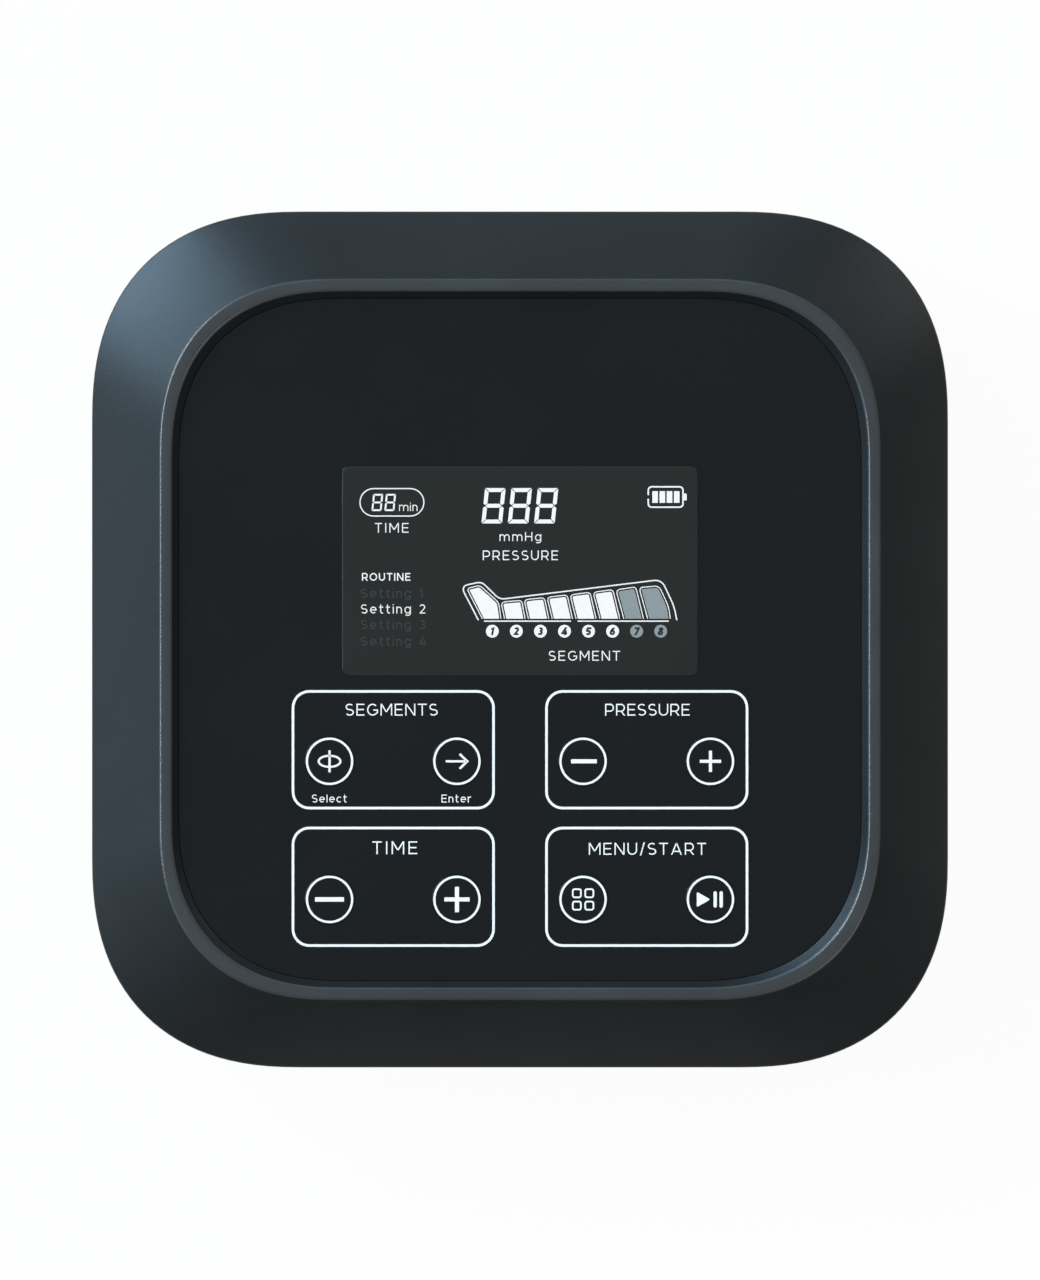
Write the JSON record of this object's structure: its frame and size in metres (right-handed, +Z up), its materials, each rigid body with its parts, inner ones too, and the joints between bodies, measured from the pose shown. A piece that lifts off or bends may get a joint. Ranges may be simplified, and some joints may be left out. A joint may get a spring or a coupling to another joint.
{
  "type": "compression therapy pump",
  "caption": "Square tabletop air pump with a display and round keys that fills the chambers of leg compression sleeves in turn through sockets at its back.",
  "frame": {"origin": "under the middle of the case, on the surface that the feet stand on", "axes": "+Z up through the control face, +Y towards the rear panel with the hose sockets, +X to the right of someone who reads the display"},
  "size_m": [0.2, 0.2, 0.088],
  "materials": {
    "shell_plastic": "satin",
    "panel_gloss": "gloss",
    "lens_clear": "gloss",
    "lcd_glass": "gloss",
    "display_white": "matte",
    "black_plastic": "satin",
    "pale_plastic": "satin",
    "black_rubber": "matte",
    "hose_silicone": "satin",
    "steel": "satin",
    "circuit_board": "satin",
    "battery_wrap": "satin"
  },
  "bodies": {
    "case": {"top_cover": "shell_plastic", "bottom_cover": "shell_plastic", "control_panel": "panel_gloss", "display_lens": "lens_clear", "lcd_glass": "lcd_glass", "lcd_backlight": "display_white", "key_board": "circuit_board", "main_board": "circuit_board", "display_ribbon": "hose_silicone", "buzzer": "black_plastic", "pressure_sensor": "pale_plastic", "board_screw_front_left": "steel", "board_screw_front_right": "steel", "board_screw_rear_left": "steel", "board_screw_rear_right": "steel", "rear_panel": "black_plastic", "hose_socket_left": "black_plastic", "hose_socket_right": "black_plastic", "power_socket": "black_plastic", "power_socket_pin": "steel", "rocker_frame": "black_plastic", "air_manifold": "pale_plastic", "valve_1": "black_plastic", "valve_2": "black_plastic", "valve_3": "black_plastic", "valve_4": "black_plastic", "valve_5": "black_plastic", "valve_6": "black_plastic", "valve_7": "black_plastic", "valve_8": "black_plastic", "supply_hose": "hose_silicone", "sense_hose": "hose_silicone", "pump_motor": "steel", "pump_crankcase": "black_plastic", "pump_diaphragm": "black_rubber", "pump_cover": "black_plastic", "air_filter": "black_plastic", "saddle_motor": "black_rubber", "saddle_crankcase": "black_rubber", "battery_pack": "battery_wrap", "battery_clamp": "steel", "foot_front_left": "black_rubber", "foot_front_right": "black_rubber", "foot_rear_left": "black_rubber", "foot_rear_right": "black_rubber", "case_screw_front_left": "steel", "case_screw_front_right": "steel", "case_screw_rear_left": "steel", "case_screw_rear_right": "steel"},
    "position_key": {"key_position": "panel_gloss"},
    "confirm_key": {"key_confirm": "panel_gloss"},
    "pressure_down_key": {"key_pressure_down": "panel_gloss"},
    "pressure_up_key": {"key_pressure_up": "panel_gloss"},
    "time_down_key": {"key_time_down": "panel_gloss"},
    "time_up_key": {"key_time_up": "panel_gloss"},
    "mode_key": {"key_mode": "panel_gloss"},
    "start_key": {"key_start": "panel_gloss"},
    "rocker": {"power_rocker": "black_plastic"},
    "rotor": {"pump_rotor": "steel"}
  },
  "joints": [
    {"name": "position_key_press", "type": "slide", "parent": "case", "child": "position_key", "axis": [0, 0, -1], "range_m": [0, 0.0006], "stiffness_N_per_m": 400},
    {"name": "confirm_key_press", "type": "slide", "parent": "case", "child": "confirm_key", "axis": [0, 0, -1], "range_m": [0, 0.0006], "stiffness_N_per_m": 400},
    {"name": "pressure_down_key_press", "type": "slide", "parent": "case", "child": "pressure_down_key", "axis": [0, 0, -1], "range_m": [0, 0.0006], "stiffness_N_per_m": 400},
    {"name": "pressure_up_key_press", "type": "slide", "parent": "case", "child": "pressure_up_key", "axis": [0, 0, -1], "range_m": [0, 0.0006], "stiffness_N_per_m": 400},
    {"name": "time_down_key_press", "type": "slide", "parent": "case", "child": "time_down_key", "axis": [0, 0, -1], "range_m": [0, 0.0006], "stiffness_N_per_m": 400},
    {"name": "time_up_key_press", "type": "slide", "parent": "case", "child": "time_up_key", "axis": [0, 0, -1], "range_m": [0, 0.0006], "stiffness_N_per_m": 400},
    {"name": "mode_key_press", "type": "slide", "parent": "case", "child": "mode_key", "axis": [0, 0, -1], "range_m": [0, 0.0006], "stiffness_N_per_m": 400},
    {"name": "start_key_press", "type": "slide", "parent": "case", "child": "start_key", "axis": [0, 0, -1], "range_m": [0, 0.0006], "stiffness_N_per_m": 400},
    {"name": "power_rocker_tilt", "type": "hinge", "parent": "case", "child": "rocker", "pos_m": [0.025, 0.0953, 0.024], "axis": [0, 0, 1], "range_deg": [0, 16]},
    {"name": "pump_rotor_spin", "type": "hinge", "parent": "case", "child": "rotor", "pos_m": [0.048, 0, 0.034], "axis": [0, 1, 0], "continuous": true}
  ]
}
